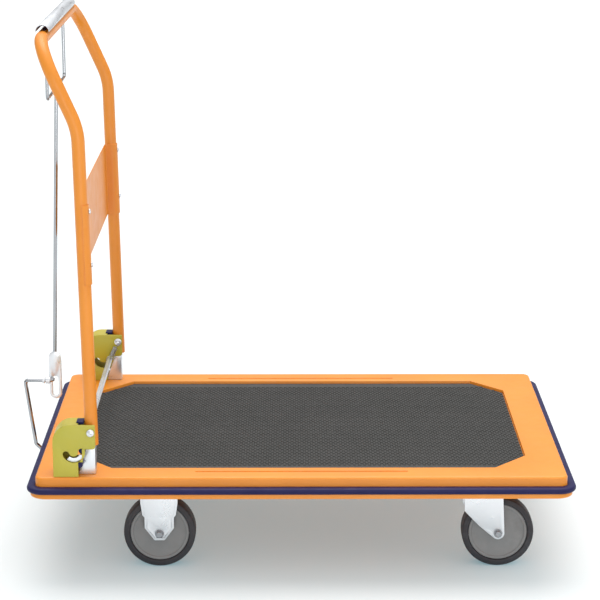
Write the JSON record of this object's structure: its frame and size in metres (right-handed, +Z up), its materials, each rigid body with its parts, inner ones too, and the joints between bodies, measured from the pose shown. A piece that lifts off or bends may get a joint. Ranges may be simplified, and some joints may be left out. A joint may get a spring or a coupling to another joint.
{
  "type": "folding platform cart",
  "caption": "Folding platform cart: a flat deck with a rubber bumper on two rigid and two swivel casters, with a fold-down tube handle, hand brake and foot latch.",
  "frame": {"origin": "on the floor, under the middle of the whole object's box", "axes": "+X along the deck, away from the handle; +Y across the deck to its far side; +Z up"},
  "size_m": [0.9674, 0.63, 0.9401],
  "materials": {
    "orange_paint": "orange powder coat, semi-gloss",
    "bumper_rubber": "navy rubber, satin",
    "mat_rubber": "dark grey ribbed rubber, matt",
    "bracket_paint": "yellow-green passivated plate, satin",
    "zinc_plate": "bright zinc plate",
    "chrome_wire": "polished chrome",
    "grip_metal": "pale silver, satin",
    "tyre_rubber": "dark grey rubber, matt",
    "hub_plastic": "grey moulded plastic",
    "plain_steel": "plain steel, satin"
  },
  "bodies": {
    "deck": {"brake_bearing_far": "plain_steel", "brake_bearing_near": "plain_steel", "brake_spring": "plain_steel", "deck_mat": "mat_rubber", "deck_pan": "orange_paint", "edge_bumper": "bumper_rubber", "hinge_bracket_far": "bracket_paint", "hinge_bracket_near": "bracket_paint", "hinge_pedestal_far": "zinc_plate", "hinge_pedestal_near": "zinc_plate", "kingpin_far": "zinc_plate", "kingpin_near": "zinc_plate", "latch_spring_far": "plain_steel", "latch_spring_near": "plain_steel", "pivot_bolt_far": "zinc_plate", "pivot_bolt_near": "zinc_plate", "rigid_axle_far": "zinc_plate", "rigid_axle_near": "zinc_plate", "rigid_fork_far": "zinc_plate", "rigid_fork_near": "zinc_plate", "stop_buffer_far": "bumper_rubber", "stop_buffer_near": "bumper_rubber", "swivel_plate_far": "zinc_plate", "swivel_plate_near": "zinc_plate", "under_channel_far": "orange_paint", "under_channel_near": "orange_paint"},
    "handle": {"handle_tube": "orange_paint", "handle_panel": "orange_paint", "panel_screw_near_1": "zinc_plate", "panel_screw_near_2": "zinc_plate", "panel_screw_far_1": "zinc_plate", "panel_screw_far_2": "zinc_plate", "guide_bush_near": "plain_steel", "guide_bush_far": "plain_steel"},
    "brake_linkage": {"brake_grip": "grip_metal", "brake_yoke": "chrome_wire", "brake_rod": "chrome_wire", "rod_strap": "zinc_plate"},
    "brake_crankshaft": {"brake_shaft": "plain_steel", "brake_crank": "chrome_wire", "crank_collar": "zinc_plate", "brake_shoe_near": "plain_steel", "brake_shoe_far": "plain_steel", "shoe_pad_near": "tyre_rubber", "shoe_pad_far": "tyre_rubber"},
    "latch": {"latch_bar": "zinc_plate"},
    "rigid_wheel_near": {"rigid_tyre_near": "tyre_rubber", "rigid_core_near": "hub_plastic"},
    "swivel_near": {"swivel_fork_near": "zinc_plate", "swivel_axle_near": "zinc_plate"},
    "swivel_wheel_near": {"swivel_tyre_near": "tyre_rubber", "swivel_core_near": "hub_plastic"},
    "rigid_wheel_far": {"rigid_tyre_far": "tyre_rubber", "rigid_core_far": "hub_plastic"},
    "swivel_far": {"swivel_fork_far": "zinc_plate", "swivel_axle_far": "zinc_plate"},
    "swivel_wheel_far": {"swivel_tyre_far": "tyre_rubber", "swivel_core_far": "hub_plastic"}
  },
  "joints": [
    {"name": "handle_fold", "type": "hinge", "parent": "deck", "child": "handle", "pos_m": [-0.3352, 0, 0.2685], "axis": [0, 1, 0], "range_deg": [0, 90]},
    {"name": "brake_press", "type": "slide", "parent": "handle", "child": "brake_linkage", "axis": [0, 0, -1], "range_m": [0, 0.006], "stiffness_N_per_m": 800, "springref_m": -0.02},
    {"name": "brake_shaft_turn", "type": "hinge", "parent": "deck", "child": "brake_crankshaft", "pos_m": [-0.3112, 0, 0.1405], "axis": [0, 1, 0], "range_deg": [-3.2, 0], "deforming": ["brake_spring"]},
    {"name": "latch_release", "type": "hinge", "parent": "deck", "child": "latch", "pos_m": [-0.3644, 0, 0.2347], "axis": [0, 1, 0], "range_deg": [0, 160], "stiffness_Nm_per_rad": 0.1, "springref_deg": -45.84, "deforming": ["latch_spring_near", "latch_spring_far"]},
    {"name": "rigid_wheel_spin_near", "type": "hinge", "parent": "deck", "child": "rigid_wheel_near", "pos_m": [-0.2272, -0.21, 0.0625], "axis": [0, 1, 0], "continuous": true},
    {"name": "caster_swivel_near", "type": "hinge", "parent": "deck", "child": "swivel_near", "pos_m": [0.3298, -0.21, 0.15], "axis": [0, 0, 1], "continuous": true},
    {"name": "swivel_wheel_spin_near", "type": "hinge", "parent": "swivel_near", "child": "swivel_wheel_near", "pos_m": [0.3598, -0.21, 0.0625], "axis": [0, 1, 0], "continuous": true},
    {"name": "rigid_wheel_spin_far", "type": "hinge", "parent": "deck", "child": "rigid_wheel_far", "pos_m": [-0.2272, 0.21, 0.0625], "axis": [0, 1, 0], "continuous": true},
    {"name": "caster_swivel_far", "type": "hinge", "parent": "deck", "child": "swivel_far", "pos_m": [0.3298, 0.21, 0.15], "axis": [0, 0, 1], "continuous": true},
    {"name": "swivel_wheel_spin_far", "type": "hinge", "parent": "swivel_far", "child": "swivel_wheel_far", "pos_m": [0.3598, 0.21, 0.0625], "axis": [0, 1, 0], "continuous": true}
  ],
  "couplings": [
    {"joint": "brake_shaft_turn", "follows": "brake_press", "rad_per_m": -8.3333}
  ]
}
